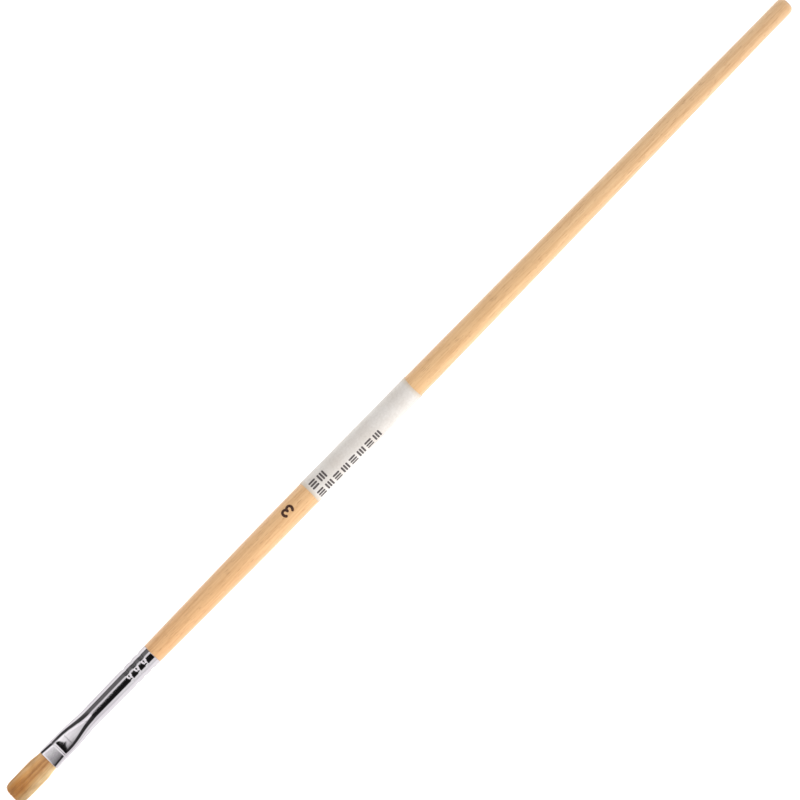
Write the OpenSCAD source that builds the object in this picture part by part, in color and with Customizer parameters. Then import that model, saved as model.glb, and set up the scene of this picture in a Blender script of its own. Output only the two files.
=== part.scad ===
// Long-handled flat paint brush, size 3, in millimetres.
// It lies along X on a table: the bristles point to +X, and the broad faces of the
// ferrule and the bristles look up and down. The origin is on the table, under the
// middle of the brush. Distances named "back" run from the ferrule's rear rim towards
// the tail, "deep" from that rim towards the mouth, and "out" from the mouth to the tips.

/* [Overall] */
// Length from the tail of the handle to the tips of the bristles
overall_len = 300; // [260:1:340]

/* [Handle] */
// Diameter where the handle meets the ferrule
neck_d = 6.1; // [5.8:0.05:6.4]
// Diameter of the belly, the thickest place
belly_d = 7.1; // [6.8:0.05:8]
// Diameter of the straight stretch at the tail
tail_d = 5; // [4:0.1:5.6]
// Distance of the belly behind the ferrule
belly_back = 50; // [40:1:70]
// Length of the straight stretch at the tail
tail_straight = 12; // [6:1:20]
// Length of the rounded end of the tail
tail_round = 1.8; // [1:0.1:2.4]
// Diameter of the small flat on the very end of the tail
tail_flat_d = 2.4; // [1.6:0.1:3]
// Length of the tenon inside the ferrule
tenon_len = 14; // [12:0.5:14.5]

/* [Ferrule] */
// Length of the ferrule
ferrule_len = 40.3; // [38:0.1:46]
// Thickness of the metal
wall = 0.28; // [0.2:0.02:0.36]
// Diameter that the mouth has before it is pressed flat
mouth_round_d = 5.2; // [5:0.05:5.5]
// Outside thickness of the pressed mouth
mouth_thick = 2.5; // [2.2:0.1:3]
// Outside thickness at the bead, where the flat band starts
bead_thick = 3.2; // [2.8:0.1:3.6]
// Depth at which the flattening starts
flatten_deep = 23; // [21:0.5:26]
// Length of the flat band between the bead and the mouth
band_len = 4.3; // [3:0.1:6]
// Height of the bead that crosses the ferrule behind the band
bead_h = 0.12; // [0.06:0.02:0.2]
// Depth of each crimped ring in the metal
crimp_in = 0.22; // [0.1:0.02:0.3]
// Depth of the first crimped ring, from the rear rim
crimp_deep = 3; // [2:0.1:4]
// Distance from one crimped ring to the next
crimp_pitch = 2.8; // [2.2:0.1:3]

/* [Bristles] */
// Length of bristle in front of the mouth
hair_len = 14; // [12:0.5:18]
// Width of the bristles at their fullest
hair_w = 7.05; // [6.6:0.05:7.4]
// Thickness of the bristles at their fullest
hair_thick = 2.4; // [2.1:0.05:2.8]
// Thickness of the bristles at their tips
tip_thick = 0.9; // [0.6:0.1:1.4]
// Length of the rounded end of the bristles
tip_round = 3; // [2:0.1:4]
// Distance of the line where the bristles bend, out from the mouth
flex_out = 4.2; // [3:0.1:5]
// How far the bristles bend each way, in degrees
flex_limit = 35; // [20:1:40]
// Depth at which the bristles' roots end
root_deep = 20; // [18:0.5:22]

/* [Label and marks] */
// Distance of the label behind the ferrule
label_back = 60; // [56:4:72]
// Length of the label
label_len = 40; // [36:4:48]
// Thickness of the label
label_thick = 0.1; // [0.08:0.01:0.15]
// Width of the flat lap where the label's ends meet, underneath
lap_w = 1.5; // [1.2:0.1:1.6]
// Thickness of the printed ink
ink = 0.04; // [0.03:0.01:0.06]
// Height of the size numeral, along the handle
numeral_h = 3.9; // [3:0.1:4.5]
// Width of the strokes of the numeral
numeral_stroke = 0.5; // [0.35:0.05:0.6]
// Size of each printed mark on the label
mark_size = 2.2; // [1.6:0.1:2.4]

/* [Hidden] */

// Where things are along X
tip_x = overall_len / 2;
mouth_x = tip_x - hair_len;
rim_x = mouth_x - ferrule_len;
tail_x = -overall_len / 2;
flex_x = mouth_x + flex_out;

// The handle's swell, from the ferrule to the straight stretch at the tail
swell_len = rim_x - tail_x - tail_straight - tail_round;
swell_step = 4;
neck_power = 1.4;
taper_power = 1.55;

// The ferrule's crimped rings and its bead
crimp_count = 3;
crimp_half = 0.75;
crimp_floor = 0.3;
bead_deep = ferrule_len - band_len;
bead_half = 0.35;
flatten_steps = 9;

// Glue, cement and the gaps left between pieces
glue = 0.06;
fit_gap = 0.006;
cement_len = 4;
cement_gap = 1;

// The bend of the bristles: a round nose on the roots in a hollow seat in the tuft
nose_r = 0.4 * hair_thick;
seat_gap = 0.08;
seat_spare = 3;
hair_spread = 4;
hair_thin_from = 5;
tip_fullness = 0.97;

// Points round each section of the ferrule and the bristles, and facets of round things
ring_points = 32;
round_facets = 72;

// The label's marks: their spacing along the handle, and where the two rows lie round it
mark_pitch = 3.1;
mark_bars = 3;
mark_start = 1.6;
top_row_marks = 2;
side_row_marks = 8;
top_row_turn = 13;
side_row_turn = -40;
numeral_back = 53.1;
numeral_turn = 13;

// Eases from 0 to 1 as t goes from 0 to 1
function ease(t) = let (k = min(1, max(0, t))) k * k * (3 - 2 * k);

// The handle's radius at a distance behind the ferrule
function handle_r(back) =
    back < belly_back
        ? belly_d / 2 - (belly_d - neck_d) / 2 * pow(1 - back / belly_back, neck_power)
        : belly_d / 2 - (belly_d - tail_d) / 2
            * pow((back - belly_back) / (swell_len - belly_back), taper_power);

// Places along the handle's swell between two distances; both ends of a label are among them
function swell_stations(from, to) =
    [for (back = [from : swell_step : to]) back];

// Radius of the ferrule's tube, as if it were still round
function tube_r(deep) = neck_d / 2 + (mouth_round_d - neck_d) / 2 * deep / ferrule_len;

// How far the crimped rings press the metal in
function crimp_at(deep) = crimp_in * max([for (i = [0 : crimp_count - 1])
    let (off = abs(deep - crimp_deep - i * crimp_pitch))
        1 - ease((off - crimp_floor) / (crimp_half - crimp_floor))]);

// Half the thickness of the flattened tube, and half the length of its flat:
// flattening keeps the distance round it
function pressed_half(deep) =
    (bead_thick + (mouth_thick - bead_thick) * max(0, (deep - bead_deep) / band_len)) / 2;
function half_thick(deep) =
    let (share = ease((deep - flatten_deep) / (bead_deep - flatten_deep)))
        tube_r(deep) + share * (pressed_half(deep) - tube_r(deep));
function half_flat(deep) = PI / 2 * (tube_r(deep) - half_thick(deep));

// A ring of points at x: two half circles of radius r, half_straight out to each side
function oval(x, half_straight, r) = [for (i = [0 : ring_points - 1])
    let (a = (i + 0.5) * 360 / ring_points)
        [x, r * cos(a) + half_straight * sign(cos(a)), r * sin(a) + axis_z]];

// The ferrule's outside and inside, and what fits inside it
function ferrule_outside(deep) =
    oval(rim_x + deep, half_flat(deep),
        half_thick(deep) - crimp_at(deep) + (abs(deep - bead_deep) < bead_half / 2 ? bead_h : 0));
function ferrule_inside(deep, gap = 0) =
    oval(rim_x + deep, half_flat(deep), half_thick(deep) - crimp_at(deep) - wall - gap);

// The largest circle inside the ferrule's bore, which has ring_points sides
function bore_r(deep) =
    (tube_r(deep) - crimp_at(deep) - wall) * cos(180 / ring_points) - fit_gap;

// The bristles outside the mouth
mouth_half_thick = half_thick(ferrule_len) - wall - fit_gap;
mouth_half_w = mouth_half_thick + half_flat(ferrule_len);
function hair_half_w(out) =
    let (t = max(0, (out - hair_len + tip_round) / tip_round))
        (mouth_half_w + (hair_w / 2 - mouth_half_w) * ease(out / hair_spread))
            * sqrt(1 - tip_fullness * t * t);
function hair_half_thick(out) =
    mouth_half_thick + (hair_thick / 2 - mouth_half_thick) * ease(out / hair_spread)
        - (hair_thick - tip_thick) / 2
            * ease((out - hair_thin_from) / (hair_len - hair_thin_from));
function hair_ring(out) =
    let (r = min(hair_half_thick(out), hair_half_w(out)))
        oval(mouth_x + out, hair_half_w(out) - r, r);

// The label's outside: paper bends one way only, so it is a plain cone
function label_r(back) =
    let (front_r = handle_r(label_back) + label_thick,
        rear_r = handle_r(label_back + label_len) + label_thick)
        front_r + (rear_r - front_r) * (back - label_back) / label_len;

// Depth of the lap's flat face under the axis: its edges are one paper out from the label
function lap_low(back) = sqrt(pow(label_r(back) + label_thick, 2) - pow(lap_w / 2, 2));

// Height of the brush's axis: the front of the label's lap lies on the table
axis_z = lap_low(label_back);

// Depths at which the ferrule's sections are taken
crimp_stations = [for (i = [0 : crimp_count - 1])
    for (e = [-crimp_half, -crimp_floor, crimp_floor, crimp_half])
        crimp_deep + i * crimp_pitch + e];
flatten_stations = [for (i = [0 : flatten_steps])
    flatten_deep + (bead_deep - bead_half - flatten_deep) * i / flatten_steps];
outside_stations = concat([0], crimp_stations, flatten_stations,
    [bead_deep - bead_half / 4, bead_deep + bead_half / 4, bead_deep + bead_half, ferrule_len]);
inside_stations = concat([0], crimp_stations, flatten_stations, [bead_deep, ferrule_len]);

// Distances out at which the bristles' sections are taken
hair_stations = [0, hair_spread / 3, hair_spread * 2 / 3];
tuft_stations = concat(
    [for (i = [0 : 5]) flex_out + (hair_len - tip_round - flex_out) * i / 5],
    [for (t = [0.35, 0.6, 0.8, 0.93, 1]) hair_len - tip_round * (1 - t)]);

// Triangles between ring j and ring k of n points each
function band_faces(j, k, n) = [for (i = [0 : n - 1])
    let (m = (i + 1) % n)
        each [[j * n + i, k * n + m, j * n + m], [j * n + i, k * n + i, k * n + m]]];

// A solid through rings of points, closed at both ends
module loft(rings) {
    n = len(rings[0]);
    last = len(rings) - 1;
    polyhedron(
        points = [for (ring = rings) each ring],
        faces = concat(
            [for (j = [0 : last - 1]) each band_faces(j, j + 1, n)],
            [[for (i = [0 : n - 1]) i]],
            [[for (i = [n - 1 : -1 : 0]) last * n + i]]));
}

// A solid through rings of points that come back to the first, such as a tube's wall
module loft_round(rings) {
    n = len(rings[0]);
    count = len(rings);
    polyhedron(
        points = [for (ring = rings) each ring],
        faces = [for (j = [0 : count - 1]) each band_faces(j, (j + 1) % count, n)]);
}

// Turns an outline of [radius, x] points round the brush's axis
module turned(outline) {
    translate([0, 0, axis_z])
        rotate([0, 90, 0])
            rotate_extrude($fn = round_facets)
                polygon(outline);
}

// A skin on the bare handle between two distances
module skin(from, to, thick) {
    stations = swell_stations(from, to);
    turned(concat(
        [for (back = stations) [handle_r(back), rim_x - back]],
        [for (i = [len(stations) - 1 : -1 : 0])
            [handle_r(stations[i]) + thick, rim_x - stations[i]]]));
}

// Turned wooden handle with its tenon in one piece
module handle() {
    straight_x = tail_x + tail_round;
    tail_end = [for (a = [0 : 15 : 90])
        [tail_flat_d / 2 + (tail_d - tail_flat_d) / 2 * sin(a), straight_x - tail_round * cos(a)]];
    steps = ceil(swell_len / swell_step) - 1;
    swell = [for (i = [steps : -1 : 0])
        [handle_r(i * swell_step), rim_x - i * swell_step]];
    tenon = [for (deep = concat([0], crimp_stations, [tenon_len]))
        [bore_r(deep) - glue, rim_x + deep]];
    color("burlywood")
        turned(concat(
            [[0, tail_x]],
            tail_end,
            [[tail_d / 2, straight_x + tail_straight]],
            swell,
            tenon,
            [[0, rim_x + tenon_len]]));
}

// Plated tube: round over the tenon, pressed flat at the mouth
module ferrule() {
    outside = [for (deep = outside_stations) ferrule_outside(deep)];
    inside = [for (i = [len(inside_stations) - 1 : -1 : 0]) ferrule_inside(inside_stations[i])];
    color("silver")
        loft_round(concat(outside, inside));
}

// Film of glue between the tenon and the ferrule
module tenon_glue() {
    stations = concat([0], crimp_stations, [tenon_len]);
    color("khaki")
        turned(concat(
            [for (deep = stations) [bore_r(deep), rim_x + deep]],
            [for (i = [len(stations) - 1 : -1 : 0])
                [bore_r(stations[i]) - glue, rim_x + stations[i]]]));
}

// Plug of cement that holds the roots of the bristles
module root_cement() {
    front = root_deep - fit_gap;
    back = max(tenon_len + cement_gap, front - cement_len);
    color("sienna")
        loft([for (i = [0 : 2]) ferrule_inside(back + (front - back) * i / 2, fit_gap)]);
}

// The bristles held in the ferrule, up to the line where they bend
module bristle_roots() {
    held = [for (deep = concat([root_deep],
        [for (s = flatten_stations) if (s > root_deep + 0.5) s], [bead_deep]))
            ferrule_inside(deep, fit_gap)];
    free = [for (out = concat(hair_stations, [hair_spread, flex_out + nose_r + seat_gap]))
        hair_ring(out)];
    color("peru")
        intersection() {
            loft(concat(held, free));
            union() {
                translate([rim_x, -hair_w, 0])
                    cube([flex_x - rim_x, 2 * hair_w, 2 * axis_z]);
                bend_cylinder(nose_r);
            }
        }
}

// A cylinder along the line where the bristles bend
module bend_cylinder(r) {
    translate([flex_x, hair_w, axis_z])
        rotate([90, 0, 0])
            cylinder(r = r, h = 2 * hair_w, $fn = round_facets);
}

// Room over and under the seat, so that the tuft's back edges clear the roots as it bends
module bend_relief() {
    edge = 90 - flex_limit - seat_spare;
    reach = 2 * hair_thick;
    translate([flex_x, hair_w, axis_z])
        rotate([90, 0, 0])
            linear_extrude(2 * hair_w)
                for (side = [1, -1])
                    polygon([
                        [0, 0],
                        [reach * cos(edge), side * reach * sin(edge)],
                        [-reach, side * reach],
                        [-reach, 0]]);
}

// The free bristles, which bend as one tuft
module bristle_tuft() {
    color("tan")
        difference() {
            loft([for (out = tuft_stations) hair_ring(out)]);
            bend_cylinder(nose_r + seat_gap);
            bend_relief();
        }
}

// A plain cone along the label, some height above its outside
module label_cone(above) {
    rear = label_back + label_len;
    turned([
        [0, rim_x - rear],
        [label_r(rear) + above, rim_x - rear],
        [label_r(label_back) + above, rim_x - label_back],
        [0, rim_x - label_back]]);
}

// The lap of the label's ends, flat underneath
module label_lap() {
    loft([for (back = [label_back + label_len, label_back])
        let (x = rim_x - back,
            low = axis_z - lap_low(back),
            high = axis_z - label_r(back) + 2 * label_thick)
            [[x, lap_w / 2, low], [x, lap_w / 2, high],
                [x, -lap_w / 2, high], [x, -lap_w / 2, low]]]);
}

// Paper label wrapped round the handle
module label() {
    from = label_back - swell_step;
    to = label_back + label_len + swell_step;
    color("gainsboro")
        difference() {
            union() {
                label_cone(0);
                label_lap();
            }
            turned(concat(
                [[0, rim_x - from]],
                [for (back = swell_stations(from, to)) [handle_r(back), rim_x - back]],
                [[0, rim_x - to]]));
        }
}

// Stands a flat drawing on the handle: its own x runs round the handle and its y towards
// the bristles, at a distance behind the ferrule and a turn round the axis
module stand_on_handle(back, turn) {
    translate([rim_x - back, 0, axis_z])
        rotate([turn, 0, 0])
            rotate([0, 0, -90])
                linear_extrude(belly_d)
                    children();
}

// One generic printed mark: a block of bars, along or across
module mark(across) {
    bar = mark_size / (2 * mark_bars - 1);
    rotate(across ? 90 : 0)
        for (i = [0 : mark_bars - 1])
            translate([-mark_size / 2, -mark_size / 2 + 2 * i * bar])
                square([mark_size, bar]);
}

// A row of marks along the label
module mark_row(count, turn) {
    for (i = [0 : count - 1])
        stand_on_handle(label_back + mark_start + mark_size / 2 + i * mark_pitch, turn)
            mark(i % 2 == 1);
}

// Ink of the generic marks on the label
module label_print() {
    color("dimgray")
        difference() {
            intersection() {
                label_cone(ink);
                union() {
                    mark_row(top_row_marks, top_row_turn);
                    mark_row(side_row_marks, side_row_turn);
                }
            }
            label_cone(0);
        }
}

// Half of the numeral 3: an open ring, its gap on the left below
module numeral_bowl(r) {
    far = 3 * r;
    difference() {
        circle(r, $fn = round_facets);
        circle(r - numeral_stroke, $fn = round_facets);
        polygon([[0, 0], [far * cos(165), far * sin(165)], [-far, -far], [0, -far]]);
    }
}

// Ink of the size numeral on the bare wood
module size_mark() {
    bowl_r = (numeral_h + numeral_stroke) / 4;
    color("saddlebrown")
        intersection() {
            skin(numeral_back - numeral_back % swell_step - swell_step,
                numeral_back - numeral_back % swell_step + 2 * swell_step, ink);
            stand_on_handle(numeral_back, numeral_turn)
                for (side = [0, 1])
                    mirror([0, side])
                        translate([0, bowl_r - numeral_stroke / 2])
                            numeral_bowl(bowl_r);
        }
}

handle();
ferrule();
tenon_glue();
root_cement();
bristle_roots();
bristle_tuft();
label();
label_print();
size_mark();
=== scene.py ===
"""Looks of the long-handled flat paint brush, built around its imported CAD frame.

The brush lies along X with its bristles at +X and its broad faces up and down.
"back" is a distance behind the ferrule's rear rim, "deep" one from that rim towards
the mouth, and "out" one from the mouth to the tips. "turn" is an angle round the handle,
from straight up and positive towards -Y. Lengths are in metres and angles in radians.
"""

import math
import random

import bpy
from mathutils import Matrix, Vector


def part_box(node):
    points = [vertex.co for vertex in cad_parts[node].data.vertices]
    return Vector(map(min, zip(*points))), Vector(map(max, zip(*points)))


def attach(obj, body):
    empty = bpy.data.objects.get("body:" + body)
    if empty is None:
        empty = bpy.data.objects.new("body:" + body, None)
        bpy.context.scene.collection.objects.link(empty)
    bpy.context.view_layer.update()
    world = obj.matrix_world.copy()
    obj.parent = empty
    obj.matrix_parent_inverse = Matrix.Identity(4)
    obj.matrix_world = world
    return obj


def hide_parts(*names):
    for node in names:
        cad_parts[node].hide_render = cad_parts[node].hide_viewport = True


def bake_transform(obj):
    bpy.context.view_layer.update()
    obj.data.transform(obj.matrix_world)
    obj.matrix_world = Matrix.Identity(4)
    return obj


MM = 0.001
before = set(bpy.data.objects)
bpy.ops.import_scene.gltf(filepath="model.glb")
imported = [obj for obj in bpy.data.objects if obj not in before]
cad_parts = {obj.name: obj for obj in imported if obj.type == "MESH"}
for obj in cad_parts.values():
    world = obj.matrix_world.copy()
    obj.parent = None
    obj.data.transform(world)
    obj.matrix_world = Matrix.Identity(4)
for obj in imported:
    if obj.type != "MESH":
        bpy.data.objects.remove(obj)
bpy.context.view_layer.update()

# ---------------------------------------------------------------- measures from the frame

handle_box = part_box("handle")
ferrule_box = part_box("ferrule")
label_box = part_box("label")
tuft_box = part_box("bristle_tuft")
roots_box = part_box("bristle_roots")

AXIS_Z = (handle_box[0].z + handle_box[1].z) / 2
TAIL_X = handle_box[0].x
TENON_X = handle_box[1].x
RIM_X = ferrule_box[0].x
MOUTH_X = ferrule_box[1].x
TIP_X = tuft_box[1].x
FERRULE_LEN = MOUTH_X - RIM_X
HAIR_LEN = TIP_X - MOUTH_X
ROOT_DEEP = roots_box[0].x - RIM_X
LABEL_BACK = RIM_X - label_box[1].x
LABEL_LEN = label_box[1].x - label_box[0].x

# ---------------------------------------------------------------- the brush's proportions

# The turned handle.
NECK_R = 3.05 * MM
BELLY_R = 3.55 * MM
TAIL_R = 2.5 * MM
BELLY_BACK = 50 * MM
TAIL_STRAIGHT = 12 * MM
TAIL_ROUND = 1.8 * MM
TAIL_FLAT_R = 1.2 * MM
SWELL_LEN = RIM_X - TAIL_X - TAIL_STRAIGHT - TAIL_ROUND
NECK_POWER = 1.4
TAPER_POWER = 1.55
GLUE_FILM = 0.1 * MM
TENON_CHAMFER = 0.3 * MM

# The ferrule's tube, its pressed facet and its bead.
WALL = 0.28 * MM
MOUTH_ROUND_R = 2.6 * MM
MOUTH_THICK = 2.5 * MM
BEAD_THICK = 3.2 * MM
FLATTEN_DEEP = 22.6 * MM
PRESSED_DEEP = 35.5 * MM
CROWN = 0.11 * MM
BAND_LEN = 4.3 * MM
BEAD_DEEP = FERRULE_LEN - BAND_LEN
BEAD_H = 0.16 * MM
BEAD_HALF = 0.5 * MM

# The crimped rings, each a groove with a row of deeper dents in it.
CRIMP_IN = 0.22 * MM
CRIMP_DEPTHS = [3 * MM, 5.8 * MM, 8.6 * MM]
CRIMP_HALF = 0.75 * MM
CRIMP_FLOOR = 0.08 * MM
CRIMP_DENTS = 12
CRIMP_GROOVE = 0.5

# The bristles, and where they bend. TIP_SQUARENESS is the power of the curve at the corners
# of the tips, 2 being an ellipse.
HAIR_W = 7.05 * MM
HAIR_THICK = 2.4 * MM
TIP_THICK = 0.9 * MM
TIP_ROUND = 3 * MM
TIP_SQUARENESS = 4
HAIR_SPREAD = 4 * MM
HAIR_THIN_FROM = 5 * MM
HAIR_PITCH = 0.15 * MM
HAIR_R = 0.076 * MM
FLEX_OUT = 4.2 * MM
BEND_HALF = 2.9 * MM

# One bristle: its bow, and how its end draws in towards the middle and gets thin. BOW_TURN
# is in radians over its length, and it is loose from 1 / LOOSENING of the way out.
HAIR_BOW = 0.05 * MM
BOW_TURN = 4
LOOSENING = 3
TIP_DRAWN_IN = 0.035
TIP_THINNED = 0.62
THINNED_FROM = 0.45

# How unlike each other the bristles are: standard deviations, and the greatest shortfall.
HAIR_SEED = 31
PITCH_SCATTER = 0.02 * MM
HEIGHT_SCATTER = 0.03
HEIGHT_LIMIT = 0.97
SHORTFALL = 0.45 * MM
SHORTFALL_LIMIT = 1.8 * MM
LEAN_ACROSS = 0.1 * MM
LEAN_UP = 0.05 * MM

# The label. The lap's sides are shares of half its width.
LABEL_THICK = 0.1 * MM
LABEL_SUNK = 0.02 * MM
LABEL_EDGE_DROP = 0.02 * MM
LABEL_EDGE_LEN = 0.03 * MM
LABEL_HOLLOW = 1 * MM
LABEL_LONGER = 1.4 * MM
LABEL_ASKEW = 0.22 * MM
LAP_W = 1.5 * MM
LAP_STEP = 0.1 * MM
LAP_SLOPE = 0.5
LAP_CLIFF = 0.06

# Print on the label and on the wood.
INK = 0.02 * MM
INK_SUNK = 0.01 * MM
INK_SECTION = (
    (1, -INK_SUNK), (1, 0.5 * INK), (0.6, INK), (-0.6, INK), (-1, 0.5 * INK), (-1, -INK_SUNK))
MARK_SIZE = 2.2 * MM
MARK_BARS = 3
MARK_START = 2.2 * MM
MARK_PITCH = 3.05 * MM
BAR_FULLNESS = 1.3
NUMERAL_BACK = 53.1 * MM
NUMERAL_H = 3.9 * MM
NUMERAL_STROKE = 0.78 * MM
BOWL_START = math.radians(-90)
BOWL_END = math.radians(150)
BOWL_BULGE = 1.15
TOP_TURN = math.radians(13)
SIDE_TURN = math.radians(-40)

# How finely the meshes are divided.
HANDLE_SIDES = 96
HANDLE_STEP = 1.5 * MM
TAIL_STEP = math.radians(6)
TENON_STEP = 0.25 * MM
FERRULE_SIDES = 144
FERRULE_STEP = 0.3 * MM
CRIMP_STEP = 0.11 * MM
FACET_STEP = 0.4 * MM
BEAD_STEP = 0.06 * MM
HAIR_SIDES = 6
HAIR_BEND_STEP = 0.72 * MM
HAIR_FREE_STEP = 1.75 * MM
LABEL_SIDES = 160
LABEL_RINGS = 44
INK_STEP = 0.3 * MM
BOWL_STEP = math.radians(12)

# Rounded edges, as (distance from the end, distance in) for each ring.
SHOULDER = ((0.1 * MM, 0.01 * MM), (0.03 * MM, 0.06 * MM), (0, 0.14 * MM))
REAR_RIM = ((0, 0.11 * MM), (0.01 * MM, 0.05 * MM), (0.04 * MM, 0.015 * MM))
MOUTH_RIM = ((0.07 * MM, 0.01 * MM), (0.03 * MM, 0.04 * MM), (0.006 * MM, 0.09 * MM),
             (0, 0.14 * MM), (0.006 * MM, 0.2 * MM))


def ease(t):
    """Eases from 0 to 1 as t goes from 0 to 1, and stays there."""
    k = min(1.0, max(0.0, t))
    return k * k * (3 - 2 * k)


def handle_r(back):
    """The handle's radius at a distance behind the ferrule."""
    if back < BELLY_BACK:
        return BELLY_R - (BELLY_R - NECK_R) * (1 - back / BELLY_BACK) ** NECK_POWER
    share = min(1.0, (back - BELLY_BACK) / (SWELL_LEN - BELLY_BACK))
    return BELLY_R - (BELLY_R - TAIL_R) * share ** TAPER_POWER


def tube_r(deep):
    """Radius of the ferrule's tube, as if it were still round."""
    return NECK_R + (MOUTH_ROUND_R - NECK_R) * deep / FERRULE_LEN


def crimp_at(deep):
    """How far the crimped rings reach in at a depth."""
    reach = 0.0
    for centre in CRIMP_DEPTHS:
        off = abs(deep - centre)
        reach = max(reach, 1 - ease((off - CRIMP_FLOOR) / (CRIMP_HALF - CRIMP_FLOOR)))
    return CRIMP_IN * reach


def pressed_share(deep):
    """How far the tube is pressed flat at a depth, from 0 to 1, easing in and out gently."""
    k = min(1.0, max(0.0, (deep - FLATTEN_DEEP) / (PRESSED_DEEP - FLATTEN_DEEP)))
    return k ** 3 * (10 - 15 * k + 6 * k * k)


def half_thick(deep):
    """Half the thickness of the tube, which is pressed flat towards the mouth."""
    past_bead = max(0.0, (deep - BEAD_DEEP) / BAND_LEN)
    pressed = (BEAD_THICK + (MOUTH_THICK - BEAD_THICK) * past_bead) / 2
    return tube_r(deep) + pressed_share(deep) * (pressed - tube_r(deep))


def half_flat(deep):
    """Half the length of the tube's flat: pressing keeps the distance round it."""
    return math.pi / 2 * (tube_r(deep) - half_thick(deep))


def crown_at(deep, share):
    """How far the pressed faces fall away, by how far across they are, from -1 to 1."""
    return CROWN * share * share * pressed_share(deep)


def label_r(back):
    """The label's outside, a plain cone."""
    front = handle_r(LABEL_BACK) + LABEL_THICK
    rear = handle_r(LABEL_BACK + LABEL_LEN) + LABEL_THICK
    return front + (rear - front) * (back - LABEL_BACK) / LABEL_LEN


# ---------------------------------------------------------------- meshes


def spread(start, end, step):
    """Evenly spaced values from start to end, at most step apart."""
    count = max(1, math.ceil(abs(end - start) / step))
    return [start + (end - start) * i / count for i in range(count + 1)]


def add_mesh(name, points, faces):
    """A smooth-shaded mesh object."""
    mesh = bpy.data.meshes.new(name)
    mesh.from_pydata(points, [], faces)
    mesh.shade_smooth()
    obj = bpy.data.objects.new(name, mesh)
    bpy.context.scene.collection.objects.link(obj)
    return obj


def ring_faces(first, second, count):
    """Four-sided faces between two rings of points, given their first indices.

    They face outwards if the points turn anticlockwise, seen from the second ring."""
    faces = []
    for i in range(count):
        j = (i + 1) % count
        faces.append((first + i, first + j, second + j, second + i))
    return faces


def loft(rings, start=0):
    """Points and faces of a solid through rings of points, each one beyond the last."""
    count = len(rings[0])
    points = [point for ring in rings for point in ring]
    faces = []
    for k in range(len(rings) - 1):
        faces += ring_faces(start + k * count, start + (k + 1) * count, count)
    for k, turn in ((0, -1), (len(rings) - 1, 1)):
        middle = Vector((0, 0, 0))
        for point in rings[k]:
            middle += Vector(point) / count
        centre = start + len(points)
        points.append(tuple(middle))
        for i in range(count):
            j = (i + 1) % count
            edge = (start + k * count + i, start + k * count + j)
            faces.append(edge[::turn] + (centre,))
    return points, faces


def loft_closed(rings):
    """Points and faces of a solid through rings of points that come back to the first."""
    count = len(rings[0])
    points = [point for ring in rings for point in ring]
    faces = []
    for k in range(len(rings)):
        after = (k + 1) % len(rings)
        faces += ring_faces(k * count, after * count, count)
    return points, faces


def circle(x, r, count):
    """A ring of points round the brush's axis."""
    ring = []
    for i in range(count):
        a = 2 * math.pi * i / count
        ring.append((x, r * math.cos(a), AXIS_Z + r * math.sin(a)))
    return ring


def stadium_point(s, straight, r):
    """A point on a stadium outline and its direction outwards, s going from 0 to 1 round it.

    The outline starts at its +Y end. Its lower half is the upper half turned by 180 degrees."""
    side = 1 if s < 0.5 else -1
    quarter = math.pi * r / 2
    run = 2 * (s % 0.5) * (2 * straight + 2 * quarter)
    if quarter < run < quarter + 2 * straight:
        return side * (straight + quarter - run), side * r, 0, side
    if run <= quarter:
        centre = straight
        angle = run / r
    else:
        centre = -straight
        angle = (run - 2 * straight) / r
    out_y = math.cos(angle)
    out_z = math.sin(angle)
    return side * (centre + r * out_y), side * r * out_z, side * out_y, side * out_z


def round_point(back, turn, r):
    """A point at an angle round the handle."""
    return RIM_X - back, -r * math.sin(turn), AXIS_Z + r * math.cos(turn)


# ---------------------------------------------------------------- pieces


def make_handle():
    """The turned handle, from its rounded tail to the tenon inside the ferrule."""
    rings = []
    for share in (0.35, 0.85):
        rings.append(circle(TAIL_X, share * TAIL_FLAT_R, HANDLE_SIDES))
    for angle in spread(0, math.pi / 2, TAIL_STEP):
        r = TAIL_FLAT_R + (TAIL_R - TAIL_FLAT_R) * math.sin(angle)
        x = TAIL_X + TAIL_ROUND * (1 - math.cos(angle))
        rings.append(circle(x, r, HANDLE_SIDES))
    for back in spread(SWELL_LEN + TAIL_STRAIGHT, 0.3 * MM, HANDLE_STEP)[1:]:
        rings.append(circle(RIM_X - back, handle_r(back), HANDLE_SIDES))
    for back, inset in SHOULDER:
        rings.append(circle(RIM_X - back, handle_r(back) - inset, HANDLE_SIDES))
    tenon_gap = WALL + GLUE_FILM
    tenon_len = TENON_X - RIM_X
    for deep in spread(0.02 * MM, tenon_len - TENON_CHAMFER, TENON_STEP):
        r = tube_r(deep) - crimp_at(deep) - tenon_gap
        rings.append(circle(RIM_X + deep, r, HANDLE_SIDES))
    end_r = tube_r(tenon_len) - tenon_gap - TENON_CHAMFER
    rings.append(circle(TENON_X, end_r, HANDLE_SIDES))
    return add_mesh("turned_handle", *loft(rings))


def ferrule_ring(deep, inset):
    """A ring of points round the ferrule, some way under its outside."""
    straight = half_flat(deep)
    bead = BEAD_H * (1 - ease(abs(deep - BEAD_DEEP) / BEAD_HALF)) if inset < WALL else 0
    ring = []
    for i in range(FERRULE_SIDES):
        s = i / FERRULE_SIDES
        dent = 0.5 + 0.5 * math.cos(2 * math.pi * CRIMP_DENTS * s)
        pressed = crimp_at(deep) * (CRIMP_GROOVE + (1 - CRIMP_GROOVE) * dent)
        out = bead - pressed - inset
        y, z, out_y, out_z = stadium_point(s, straight, half_thick(deep))
        fall = crown_at(deep, y / (straight + half_thick(deep))) * z / half_thick(deep)
        ring.append((RIM_X + deep, y + out * out_y, AXIS_Z + z - fall + out * out_z))
    return ring


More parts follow.
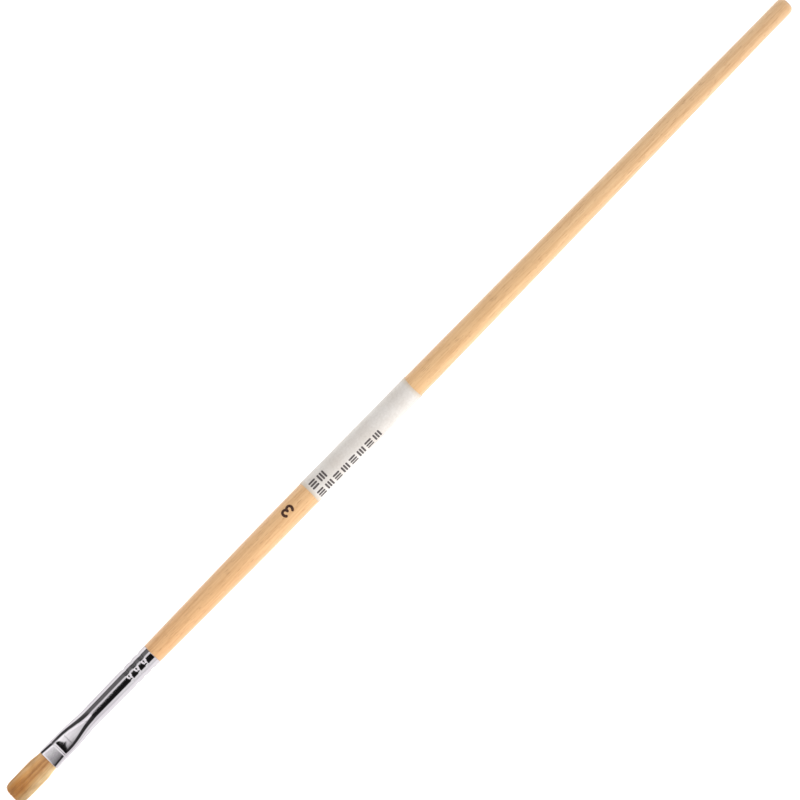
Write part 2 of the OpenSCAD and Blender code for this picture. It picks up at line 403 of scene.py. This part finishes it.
def make_ferrule():
    """The plated tube: crimped over the tenon, beaded, and pressed flat at the mouth.

    Its rings are close together at the crimps and at the bead."""
    depths = spread(0.1 * MM, 1.9 * MM, FERRULE_STEP)
    depths += spread(2.0 * MM, 9.7 * MM, CRIMP_STEP)
    depths += spread(10 * MM, BEAD_DEEP - 0.7 * MM, FACET_STEP)
    depths += spread(BEAD_DEEP - 0.6 * MM, BEAD_DEEP + 0.6 * MM, BEAD_STEP)
    depths += spread(BEAD_DEEP + 0.8 * MM, FERRULE_LEN - 0.12 * MM, FERRULE_STEP)
    rings = [ferrule_ring(deep, inset) for deep, inset in REAR_RIM]
    rings += [ferrule_ring(deep, 0) for deep in depths]
    rings += [ferrule_ring(FERRULE_LEN - short, inset) for short, inset in MOUTH_RIM]
    rings += [ferrule_ring(deep, WALL) for deep in reversed(depths[::2])]
    return add_mesh("pressed_ferrule", *loft_closed(rings))


def hair_section(out):
    """Half the straight part and the radius of the bristles' section at a distance out."""
    if out < 0:
        r = half_thick(FERRULE_LEN + out) - WALL
        return half_flat(FERRULE_LEN + out), r
    mouth_r = half_thick(FERRULE_LEN) - WALL
    mouth_w = mouth_r + half_flat(FERRULE_LEN)
    spread_out = ease(out / HAIR_SPREAD)
    width = mouth_w + (HAIR_W / 2 - mouth_w) * spread_out
    thin = ease((out - HAIR_THIN_FROM) / (HAIR_LEN - HAIR_THIN_FROM))
    r = mouth_r + (HAIR_THICK / 2 - mouth_r) * spread_out - (HAIR_THICK - TIP_THICK) / 2 * thin
    return width - r, r


def bristle_end(across):
    """How far out a bristle ends, by how far from the middle it stands, from 0 to 1."""
    arch = math.sqrt(1 - across ** TIP_SQUARENESS)
    return HAIR_LEN - TIP_ROUND + TIP_ROUND * arch


def bristle_rings(across, height, end, lean, chance):
    """The rings of one bristle, from its root in the ferrule to its thin tip.

    across and height are its place in the bristles' section, each from -1 to 1. It has few
    rings inside the ferrule, where nothing shows, and most where it bends."""
    depths = [ROOT_DEEP - FERRULE_LEN, -14 * MM, -9 * MM, -5 * MM, -0.8 * MM]
    depths += spread(0, FLEX_OUT + BEND_HALF, HAIR_BEND_STEP)
    depths += spread(FLEX_OUT + BEND_HALF, end, HAIR_FREE_STEP)[1:]
    bow = chance.uniform(-HAIR_BOW, HAIR_BOW)
    phase = chance.uniform(0, 2 * math.pi)
    rings = []
    for out in depths:
        straight, r = hair_section(out)
        inner = r - HAIR_R
        chord = straight + inner * math.sqrt(1 - height * height)
        share = max(0.0, out / HAIR_LEN)
        loose = min(1.0, LOOSENING * share)
        wave = bow * math.sin(BOW_TURN * share + phase) * loose
        drawn_in = 1 - TIP_DRAWN_IN * share ** 3
        fall = height * crown_at(FERRULE_LEN + min(0, out), across) * (1 - ease(loose))
        y = across * chord * drawn_in + lean[0] * share ** 2 + wave
        z = AXIS_Z + height * inner + lean[1] * share ** 2 + wave / 2 - fall
        thinned = ease((out - THINNED_FROM * end) / ((1 - THINNED_FROM) * end))
        size = HAIR_R * (1 - TIP_THINNED * thinned)
        ring = []
        for i in range(HAIR_SIDES):
            a = 2 * math.pi * i / HAIR_SIDES + phase
            ring.append((MOUTH_X + out, y + size * math.cos(a), z + size * math.sin(a)))
        rings.append(ring)
    return rings


def make_bristles():
    """Every bristle on its own, packed in the ferrule and spread outside it."""
    chance = random.Random(HAIR_SEED)
    straight, r = hair_section(HAIR_SPREAD)
    points, faces, tones, places, sides = [], [], [], [], []
    row_step = HAIR_PITCH * math.sqrt(3) / 2
    rows = int(r / row_step)
    for row in range(-rows, rows + 1):
        z = row * row_step
        height = z / r
        chord = straight + r * math.sqrt(1 - height * height)
        columns = int(chord / HAIR_PITCH)
        for column in range(-columns, columns + 1):
            y = (column + 0.5 * (row % 2)) * HAIR_PITCH + chance.gauss(0, PITCH_SCATTER)
            across = y / chord
            if abs(across) > 1:
                continue
            end = bristle_end(min(1.0, abs(y) / (HAIR_W / 2)))
            end -= min(SHORTFALL_LIMIT, abs(chance.gauss(0, SHORTFALL)))
            lean = (chance.gauss(0, LEAN_ACROSS), chance.gauss(0, LEAN_UP))
            shaken = height + chance.gauss(0, HEIGHT_SCATTER)
            shaken = max(-HEIGHT_LIMIT, min(HEIGHT_LIMIT, shaken))
            rings = bristle_rings(across, shaken, end, lean, chance)
            more, its_faces = loft(rings, start=len(points))
            points += more
            faces += its_faces
            tones += [chance.random()] * len(more)
            places += [max(0.0, point[0] - MOUTH_X) / HAIR_LEN for point in more]
            # Each bristle's place across, which sets the painted light on the bristles' sides.
            sides += [0.5 + 0.5 * across] * len(more)
    obj = add_mesh("hog_bristles", points, faces)
    for name, values in (("tone", tones), ("along", places), ("side", sides)):
        obj.data.attributes.new(name, "FLOAT", "POINT").data.foreach_set("value", values)
    return obj


def label_surface(back, turn):
    """The label's outside radius, with its flat lap underneath.

    The paper rises to the lap gently on one side and with a step on the other."""
    radius = label_r(back)
    under = math.pi - abs(turn)
    half_lap = LAP_W / 2 / radius
    lap_low = math.sqrt((radius + LAP_STEP) ** 2 - (LAP_W / 2) ** 2)
    lap = lap_low / math.cos(min(under, half_lap))
    if under < half_lap:
        return lap
    if turn < 0:
        return lap + (radius - lap) * ease((under - half_lap) / (LAP_SLOPE * half_lap))
    return lap + (radius - lap) * min(1.0, (under - half_lap) / (LAP_CLIFF * half_lap))


def label_edge(back, turn):
    """The radius of the label's outside where its paper is cut, a little lower."""
    return label_surface(back, turn) - LABEL_EDGE_DROP


def label_inside(back, turn):
    """The radius of the label's inside, sunk a little into the wood and the same all round."""
    return handle_r(back) - LABEL_SUNK


def label_ends(turn):
    """The label's front and rear ends: a little hollowed on top, and wound slightly askew."""
    hollow = LABEL_HOLLOW / 2 * (1 + math.cos(turn))
    askew = LABEL_ASKEW * turn / math.pi
    front = LABEL_BACK + hollow + askew
    rear = LABEL_BACK + LABEL_LEN + LABEL_LONGER - hollow + askew
    return front, rear


def label_turns():
    """Angles round the label, close together at the lap underneath."""
    half_lap = LAP_W / 2 / label_r(LABEL_BACK)
    edge = math.pi - half_lap
    slope_top = -edge + LAP_SLOPE * half_lap
    turns = spread(slope_top, edge - 0.2 * half_lap, 2 * math.pi / LABEL_SIDES)
    turns += [edge - LAP_CLIFF * half_lap, edge, math.pi - 0.5 * half_lap, math.pi]
    turns += [-math.pi + 0.5 * half_lap, -edge, -edge + 0.2 * half_lap, -edge + 0.35 * half_lap]
    return turns


def label_ring(share, radius_at, inset):
    """A ring of the label's points, at a share of its length from its rear end to its front."""
    points = []
    for turn in label_turns():
        front, rear = label_ends(turn)
        front += inset
        rear -= inset
        back = rear + (front - rear) * share
        points.append(round_point(back, turn, radius_at(back, turn)))
    return points


def make_label():
    """The paper wrapped round the handle, its ends lapped underneath."""
    shares = spread(0, 1, 1 / LABEL_RINGS)
    rings = [label_ring(0, label_edge, 0)]
    rings += [label_ring(share, label_surface, LABEL_EDGE_LEN) for share in shares]
    rings += [label_ring(1, label_edge, 0)]
    rings += [label_ring(share, label_inside, 0) for share in reversed(shares)]
    return add_mesh("paper_label", *loft_closed(rings))


def stroke(points, width, radius_at):
    """A flat round-ended stroke of ink on the handle, through (back, turn) points.

    Distances across the stroke are measured along the surface. radius_at(back, turn)
    is the radius of the surface that carries the ink."""
    base = radius_at(*points[0])
    flat = [Vector((back, turn * base)) for back, turn in points]
    cap = width / 2
    cap_steps = (0.0, 0.15, 0.4, 0.75)
    blunt = 0.12
    stations = []
    for step in cap_steps:
        start = flat[0] + (flat[0] - flat[1]).normalized() * cap * (1 - step)
        stations.append((start, math.sqrt(1 - (1 - step) ** 2)))
    stations += [(spot, 1.0) for spot in flat]
    for step in reversed(cap_steps):
        finish = flat[-1] + (flat[-1] - flat[-2]).normalized() * cap * (1 - step)
        stations.append((finish, math.sqrt(1 - (1 - step) ** 2)))
    rings = []
    for k, (middle, share) in enumerate(stations):
        before = stations[max(0, k - 1)][0]
        after = stations[min(len(stations) - 1, k + 1)][0]
        along = (after - before).normalized()
        side = Vector((-along.y, along.x)) * cap * max(blunt, share)
        ring = []
        for across, height in INK_SECTION:
            spot = middle + side * across
            turn = spot.y / base
            ring.append(round_point(spot.x, turn, radius_at(spot.x, turn) + height))
        rings.append(ring)
    return rings


def join_strokes(name, strokes):
    """One mesh of several strokes."""
    points, faces = [], []
    for rings in strokes:
        more, its_faces = loft(rings, start=len(points))
        points += more
        faces += its_faces
    return add_mesh(name, points, faces)


def on_wood(back, turn):
    """The bare handle's radius, the same all round."""
    return handle_r(back)


def mark_strokes(back, turn, across):
    """Three bars in a square block, a generic mark. Bars run along the handle or across it."""
    bar = MARK_SIZE / (2 * MARK_BARS - 1)
    surface = label_r(back)
    reach = MARK_SIZE / 2 - bar / 2
    runs = spread(-reach, reach, INK_STEP)
    strokes = []
    for i in range(MARK_BARS):
        off = -reach + 2 * i * bar
        if across:
            line = [(back + off, turn + run / surface) for run in runs]
        else:
            line = [(back + run, turn + off / surface) for run in runs]
        strokes.append(stroke(line, bar * BAR_FULLNESS, label_surface))
    return strokes


def make_marks():
    """Two rows of generic marks on the label."""
    strokes = []
    for count, turn in ((2, TOP_TURN), (8, SIDE_TURN)):
        for i in range(count):
            back = LABEL_BACK + MARK_START + MARK_SIZE / 2 + i * MARK_PITCH
            strokes += mark_strokes(back, turn, i % 2 == 1)
    return join_strokes("label_marks", strokes)


def make_numeral():
    """The size numeral, two bowls that meet in the middle."""
    bowl_r = (NUMERAL_H - NUMERAL_STROKE) / 4
    surface = handle_r(NUMERAL_BACK)
    strokes = []
    for side in (1, -1):
        line = []
        for angle in spread(BOWL_START, BOWL_END, BOWL_STEP):
            run = side * (bowl_r + bowl_r * math.sin(angle))
            bulge = BOWL_BULGE * bowl_r * math.cos(angle)
            line.append((NUMERAL_BACK - run, TOP_TURN + bulge / surface))
        strokes.append(stroke(line, NUMERAL_STROKE, on_wood))
    return join_strokes("size_numeral", strokes)


# ---------------------------------------------------------------- materials


def linear(red, green, blue):
    """A linear colour from 0-255 display values."""
    channels = []
    for value in (red, green, blue):
        c = value / 255
        channels.append(c / 12.92 if c <= 0.04045 else ((c + 0.055) / 1.055) ** 2.4)
    return (*channels, 1.0)


def add_node(tree, kind, values=None, **settings):
    """A node with some of its settings and input values."""
    made = tree.nodes.new(kind)
    for name, value in settings.items():
        setattr(made, name, value)
    for name, value in (values or {}).items():
        made.inputs[name].default_value = value
    return made


def new_material(name, **values):
    """A material, its node tree and its main shader, with constant values on the shader."""
    material = bpy.data.materials.new(name)
    material.use_nodes = True
    tree = material.node_tree
    shader = tree.nodes["Principled BSDF"]
    for key, value in values.items():
        shader.inputs[key.replace("_", " ")].default_value = value
    return material, tree, shader


def noise(tree, stretch, detail=3.0, roughness=0.55, distortion=0.0):
    """Noise with so many features a metre along X, Y and Z."""
    place = add_node(tree, "ShaderNodeTexCoord")
    mapping = add_node(tree, "ShaderNodeMapping", {"Scale": stretch})
    texture = add_node(tree, "ShaderNodeTexNoise", {
        "Scale": 1.0, "Detail": detail, "Roughness": roughness, "Distortion": distortion})
    tree.links.new(place.outputs["Object"], mapping.inputs["Vector"])
    tree.links.new(mapping.outputs["Vector"], texture.inputs["Vector"])
    return texture.outputs["Fac"]


def ramp(tree, source, stops):
    """A colour ramp with (position, colour) stops; a plain number stands for a grey."""
    made = add_node(tree, "ShaderNodeValToRGB")
    elements = made.color_ramp.elements
    while len(elements) < len(stops):
        elements.new(0.5)
    for element, (position, colour) in zip(elements, stops):
        element.position = position
        grey = isinstance(colour, (int, float))
        element.color = (colour, colour, colour, 1.0) if grey else colour
    tree.links.new(source, made.inputs["Fac"])
    return made.outputs["Color"]


def feed(tree, value, socket):
    """Links a socket to an input, or sets the input to a number or a colour."""
    if isinstance(value, bpy.types.NodeSocket):
        tree.links.new(value, socket)
    else:
        socket.default_value = value


def mix(tree, share, first, second, blend="MIX"):
    """Two colours mixed; each may be a socket or a colour, and share a socket or a number."""
    made = add_node(tree, "ShaderNodeMix", data_type="RGBA", blend_type=blend)
    feed(tree, share, made.inputs[0])
    feed(tree, first, made.inputs[6])
    feed(tree, second, made.inputs[7])
    return made.outputs[2]


def rescale(tree, value, start, end, low=0.0, high=1.0):
    """A value that goes from low to high as the given one goes from start to end."""
    made = add_node(tree, "ShaderNodeMapRange", {
        "From Min": start, "From Max": end, "To Min": low, "To Max": high})
    tree.links.new(value, made.inputs["Value"])
    return made.outputs["Result"]


def calculate(tree, operation, *values):
    """The result of an operation on sockets and numbers."""
    made = add_node(tree, "ShaderNodeMath", operation=operation)
    for value, socket in zip(values, made.inputs):
        feed(tree, value, socket)
    return made.outputs[0]


def bump(tree, shader, height, depth):
    """Fine relief, depth being its height in metres."""
    made = add_node(tree, "ShaderNodeBump", {"Strength": 1.0, "Distance": depth})
    tree.links.new(height, made.inputs["Height"])
    tree.links.new(made.outputs["Normal"], shader.inputs["Normal"])


def along_x(tree, start, end):
    """A value from 0 at start to 1 at end along the brush."""
    place = add_node(tree, "ShaderNodeTexCoord")
    split = add_node(tree, "ShaderNodeSeparateXYZ")
    tree.links.new(place.outputs["Object"], split.inputs["Vector"])
    return rescale(tree, split.outputs["X"], start, end)


def attribute(tree, name):
    """A number stored on the mesh's points."""
    made = add_node(tree, "ShaderNodeAttribute", attribute_name=name)
    return made.outputs["Fac"]


def wood():
    """Fine pale hardwood under a thin satin varnish, with painted shade darkening the end of the
    tail.
    """
    material, tree, shader = new_material(
        "pale_wood", IOR=1.5, Coat_Weight=0.3, Coat_Roughness=0.28, Coat_IOR=1.5,
        Sheen_Weight=0.7, Sheen_Roughness=0.4)
    base = ramp(tree, along_x(tree, TAIL_X, RIM_X), [
        (0.0, linear(221, 184, 140)), (0.5, linear(226, 186, 136)), (1.0, linear(228, 182, 130))])
    bands = ramp(tree, noise(tree, (16, 520, 520), detail=2, distortion=0.6), [
        (0.3, linear(232, 218, 202)), (0.7, linear(255, 255, 255))])
    grain = ramp(tree, noise(tree, (70, 2600, 2600), detail=5, roughness=0.7), [
        (0.34, linear(214, 192, 164)), (0.6, linear(255, 255, 255))])
    flecks = ramp(tree, noise(tree, (420, 5200, 5200), detail=2), [
        (0.3, linear(150, 112, 78)), (0.4, linear(255, 255, 255))])
    colour = mix(tree, 0.55, base, bands, "MULTIPLY")
    colour = mix(tree, 0.5, colour, grain, "MULTIPLY")
    colour = mix(tree, 0.45, colour, flecks, "MULTIPLY")
    # Painted shade: the last half millimetre of the tail is darkened to mottled browns.
    painted_end_shade = ramp(tree, noise(tree, (700, 3600, 3600), detail=4, distortion=1.5), [
        (0.35, linear(92, 58, 28)), (0.65, linear(146, 100, 58))])
    tail = ramp(tree, along_x(tree, TAIL_X, TAIL_X + 0.5 * MM), [(0.1, 1.0), (0.8, 0.0)])
    colour = mix(tree, tail, colour, painted_end_shade)
    tree.links.new(colour, shader.inputs["Base Color"])
    gloss = ramp(tree, noise(tree, (120, 1400, 1400), detail=4), [(0.3, 0.42), (0.7, 0.6)])
    tree.links.new(gloss, shader.inputs["Roughness"])
    bump(tree, shader, noise(tree, (90, 3200, 3200), detail=4), 0.012 * MM)
    return material


def plated_metal():
    """Bright plating with drawing lines and light scuffs."""
    material, tree, shader = new_material("plated_metal", Metallic=1.0)
    tint = ramp(tree, noise(tree, (90, 700, 700), detail=3), [
        (0.3, linear(226, 219, 226)), (0.7, linear(240, 236, 240))])
    tree.links.new(tint, shader.inputs["Base Color"])
    lines = noise(tree, (60, 9000, 9000), detail=3)
    scuffs = ramp(tree, noise(tree, (900, 2600, 2600), detail=5, roughness=0.7), [
        (0.52, 0.045), (0.75, 0.16)])
    tree.links.new(scuffs, shader.inputs["Roughness"])
    bump(tree, shader, lines, 0.0012 * MM)
    return material


def bristle():
    """Natural hog bristle: tan and warmer towards the tips, with painted light that makes it
    paler at both sides, most of all on the lit +Y side.
    """
    material, tree, shader = new_material(
        "hog_bristle", Roughness=0.42, IOR=1.5, Specular_IOR_Level=0.4, Sheen_Weight=0.25)
    length = ramp(tree, attribute(tree, "along"), [
        (0.0, linear(214, 166, 110)), (0.4, linear(216, 165, 102)), (0.74, linear(214, 152, 76)),
        (1.0, linear(216, 160, 92))])
    # Painted light: the bristles turn paler towards the lit +Y side, and a little at the -Y edge.
    pale = ramp(tree, attribute(tree, "side"), [
        (0.0, 0.55), (0.1, 0.1), (0.2, 0.0), (0.6, 0.0), (0.74, 0.35), (0.9, 0.85), (1.0, 1.0)])
    length = mix(tree, pale, length, linear(242, 218, 172))
    each = ramp(tree, attribute(tree, "tone"), [
        (0.0, linear(206, 182, 156)), (0.35, linear(240, 232, 222)), (0.8, linear(255, 255, 255)),
        (1.0, linear(255, 244, 214))])
    colour = mix(tree, 0.75, length, each, "MULTIPLY")
    mottle = ramp(tree, noise(tree, (420, 900, 900), detail=3), [
        (0.3, linear(214, 196, 176)), (0.65, linear(255, 255, 255))])
    colour = mix(tree, 0.6, colour, mottle, "MULTIPLY")
    tree.links.new(colour, shader.inputs["Base Color"])
    bump(tree, shader, noise(tree, (1800, 9000, 9000), detail=2), 0.004 * MM)
    return material


def paper():
    """Off-white coated paper with faint fibres, a little soiled at its ends."""
    material, tree, shader = new_material(
        "label_paper", IOR=1.48, Coat_Weight=0.12, Coat_Roughness=0.35, Sheen_Weight=0.2)
    fibres = ramp(tree, noise(tree, (1500, 1500, 1500), detail=5, roughness=0.65), [
        (0.3, linear(205, 200, 195)), (0.7, linear(219, 215, 211))])
    cloud = ramp(tree, noise(tree, (110, 160, 160), detail=2), [
        (0.3, linear(236, 230, 224)), (0.7, linear(255, 255, 255))])
    colour = mix(tree, 0.7, fibres, cloud, "MULTIPLY")
    front, rear = label_ends(0)
    worn = ramp(tree, along_x(tree, RIM_X - rear, RIM_X - front), [
        (0.0, 1.0), (0.03, 0.0), (0.97, 0.0), (1.0, 1.0)])
    colour = mix(tree, worn, colour, linear(198, 184, 166))
    tree.links.new(colour, shader.inputs["Base Color"])
    gloss = ramp(tree, noise(tree, (500, 500, 500), detail=3), [(0.3, 0.5), (0.7, 0.64)])
    tree.links.new(gloss, shader.inputs["Roughness"])
    bump(tree, shader, noise(tree, (2600, 2600, 2600), detail=4), 0.004 * MM)
    return material


def ink(name, dark, light):
    """Printed ink, a little uneven."""
    material, tree, shader = new_material(name, Roughness=0.5, IOR=1.45)
    patches = ramp(tree, noise(tree, (3200, 3200, 3200), detail=4, roughness=0.7), [
        (0.4, dark), (0.72, light)])
    tree.links.new(patches, shader.inputs["Base Color"])
    bump(tree, shader, noise(tree, (4200, 4200, 4200), detail=2), 0.003 * MM)
    return material


def resin(name, dark, light):
    """Set glue or cement, cloudy inside."""
    material, tree, shader = new_material(name, Roughness=0.3, IOR=1.5)
    cloud = ramp(tree, noise(tree, (700, 700, 700), detail=4), [(0.35, dark), (0.65, light)])
    tree.links.new(cloud, shader.inputs["Base Color"])
    bump(tree, shader, noise(tree, (1200, 1200, 1200), detail=3), 0.02 * MM)
    return material


def floor_paper():
    """The pale floor, which glows enough to leave no more than a faint shadow.

    Mirrored rays don't see the glow, so the metal shows a darker floor."""
    material, tree, shader = new_material(
        "studio_floor", Base_Color=linear(238, 238, 238), Roughness=0.9,
        Emission_Color=(1, 1, 1, 1))
    rays = add_node(tree, "ShaderNodeLightPath")
    glow = rescale(tree, rays.outputs["Is Glossy Ray"], 0.0, 1.0, FLOOR_GLOW, 0.0)
    tree.links.new(glow, shader.inputs["Emission Strength"])
    return material


# ---------------------------------------------------------------- stage

# Grey by the angle round the brush's line in degrees, from straight up and positive towards
# +Y. SIDE is the card on the -Y side and LIT the bright +Y side. CARD has a dark card
# overhead and CLEAR has none. EDGES has a bright gap between the two cards, and in BAND the
# light fades towards a narrower card. SOFT is the light on everything that isn't mirrored.
SIDE = [(-108, 1.0), (-98, 0.13), (-42, 0.16), (-36, 0.78), (-21, 0.78)]
LIT = [(76, 0.7), (92, 1.0)]
CARD = SIDE + [(-16, 0.008), (40, 0.008), (46, 0.82), (60, 0.82)] + LIT
CLEAR = SIDE + [(0, 0.9), (60, 0.9)] + LIT
EDGES = [(-108, 1.0), (-98, 0.06), (-38, 0.05), (-30, 0.95), (-6, 1.2), (1, 0.75), (5, 0.04),
         (44, 0.03), (56, 0.95)] + LIT
BAND = SIDE + [(-6, 0.85), (-1, 0.42), (3, 0.26), (8, 0.24), (12, 0.03), (44, 0.03),
               (56, 0.95)] + LIT
SOFT = [(-120, 0.9), (-60, 0.9), (0, 1.0), (60, 1.4), (120, 1.2)]

# The card overhead ends in a point as the tilt grows: the tilt where it starts to narrow,
# half the width of the point, and how much faster its sides go than its middle.
POINT_TILT = 0.105
POINT_HALF = math.radians(8)
POINT_SPEED = 6.0

FLOOR_W = 6.0
FLOOR_GLOW = 0.75
LENS = 200
SENSOR_W = 36
PICTURE_W = 216.2 * MM
PICTURE_TURN = math.radians(134.31)


def make_floor():
    """A wide pale floor under the brush."""
    half = FLOOR_W / 2
    corners = [(-half, -half, 0), (half, -half, 0), (half, half, 0), (-half, half, 0)]
    floor = add_mesh("floor", corners, [(0, 1, 2, 3)])
    floor.data.materials.append(floor_paper())


def by_angle(tree, around, stops):
    """A grey by the angle round the brush's line, from (degrees, grey) stops."""
    return ramp(tree, around, [(degrees / 360 + 0.5, grey) for degrees, grey in stops])


def studio_cards(tree, around, lateral, tilt):
    """What the metal mirrors: one pattern of cards after another, as the tilt grows.

    Each change has the measure it goes by, where that starts and ends, and the next pattern.
    The first comes sooner away from the middle, so the card overhead ends in a point."""
    from_top = calculate(tree, "ABSOLUTE", lateral)
    narrowing = rescale(tree, from_top, 0.0, POINT_HALF, 1.0, POINT_SPEED)
    past_point = calculate(tree, "SUBTRACT", tilt, POINT_TILT)
    pointed = calculate(tree, "MULTIPLY", past_point, narrowing)
    changes = ((pointed, 0.1, 0.135, EDGES), (tilt, 0.262, 0.267, BAND),
               (tilt, 0.281, 0.286, EDGES), (tilt, 0.46, 0.52, CLEAR))
    surround = by_angle(tree, around, CARD)
    for measure, start, end, pattern in changes:
        share = rescale(tree, measure, start, end)
        surround = mix(tree, share, surround, by_angle(tree, around, pattern))
    return surround


def make_world():
    """A studio that is plain white to the camera and has dark cards for the metal to mirror.

    "lateral" is the angle round the brush's own line, from straight up and positive towards
    +Y, and "tilt" is how far a ray leans along that line, from 0 to 1."""
    world = bpy.data.worlds.new("studio")
    bpy.context.scene.world = world
    world.use_nodes = True
    tree = world.node_tree
    tree.nodes.clear()
    ray = add_node(tree, "ShaderNodeTexCoord")
    split = add_node(tree, "ShaderNodeSeparateXYZ")
    tree.links.new(ray.outputs["Generated"], split.inputs["Vector"])
    lateral = calculate(tree, "ARCTAN2", split.outputs["Y"], split.outputs["Z"])
    around = rescale(tree, lateral, -math.pi, math.pi)
    tilt = calculate(tree, "ABSOLUTE", split.outputs["X"])
    rays = add_node(tree, "ShaderNodeLightPath")
    mirrored = studio_cards(tree, around, lateral, tilt)
    soft = by_angle(tree, around, SOFT)
    lighting = mix(tree, rays.outputs["Is Diffuse Ray"], mirrored, soft)
    seen = mix(tree, rays.outputs["Is Camera Ray"], lighting, (1, 1, 1, 1))
    background = add_node(tree, "ShaderNodeBackground", {"Strength": 1.0})
    output = add_node(tree, "ShaderNodeOutputWorld")
    tree.links.new(seen, background.inputs["Color"])
    tree.links.new(background.outputs["Background"], output.inputs["Surface"])


def make_lamp(name, lateral, distance, size, power):
    """A soft area lamp at a lateral angle from the brush's line, turned towards it."""
    light = bpy.data.lights.new(name, "AREA")
    light.shape = "RECTANGLE"
    light.size = size[0]
    light.size_y = size[1]
    light.energy = power
    lamp = bpy.data.objects.new(name, light)
    spot = Vector((0, distance * math.sin(lateral), distance * math.cos(lateral)))
    lamp.location = spot
    lamp.rotation_euler = spot.to_track_quat("Z", "Y").to_euler()
    lamp.visible_glossy = False
    bpy.context.scene.collection.objects.link(lamp)


def make_camera():
    """Straight above the brush, which crosses the picture from lower left to upper right."""
    data = bpy.data.cameras.new("camera")
    data.lens = LENS
    data.sensor_width = SENSOR_W
    data.clip_end = 20
    camera = bpy.data.objects.new("camera", data)
    distance = PICTURE_W * data.lens / data.sensor_width
    camera.location = (0, 0, AXIS_Z + distance)
    camera.rotation_euler = (0, 0, PICTURE_TURN)
    bpy.context.scene.collection.objects.link(camera)
    bpy.context.scene.camera = camera


# ---------------------------------------------------------------- putting it together


def fit_out(obj, material, body, slot, *nodes):
    """Gives a piece its material and its body, and hides the CAD nodes that it stands for. slot
    is not used.
    """
    obj.data.materials.append(material)
    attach(obj, body)
    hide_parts(*nodes)


def dress_frame_node(name, material):
    """Gives a CAD node that stays as it is a material."""
    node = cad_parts[name]
    node.data.materials.clear()
    node.data.materials.append(material)


fit_out(make_handle(), wood(), "brush", "wood", "handle")
fit_out(make_ferrule(), plated_metal(), "brush", "plated_metal", "ferrule")
fit_out(make_label(), paper(), "brush", "paper", "label")
grey_ink = ink("grey_ink", linear(60, 55, 56), linear(112, 104, 102))
fit_out(make_marks(), grey_ink, "brush", "grey_ink", "label_print")
brown_ink = ink("brown_ink", linear(52, 26, 14), linear(104, 62, 36))
fit_out(make_numeral(), brown_ink, "brush", "brown_ink", "size_mark")

bristles = make_bristles()
bristles.data.materials.append(bristle())
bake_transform(bristles)
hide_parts("bristle_tuft", "bristle_roots")

dress_frame_node("tenon_glue", resin("amber_glue", linear(196, 160, 88), linear(222, 194, 128)))
dress_frame_node("root_cement", resin("root_cement", linear(92, 54, 26), linear(134, 86, 44)))

make_floor()
make_world()
make_lamp("key", lateral=math.radians(62), distance=0.9, size=(0.9, 0.5), power=3.0)
make_camera()
bpy.context.scene.view_settings.view_transform = "Standard"
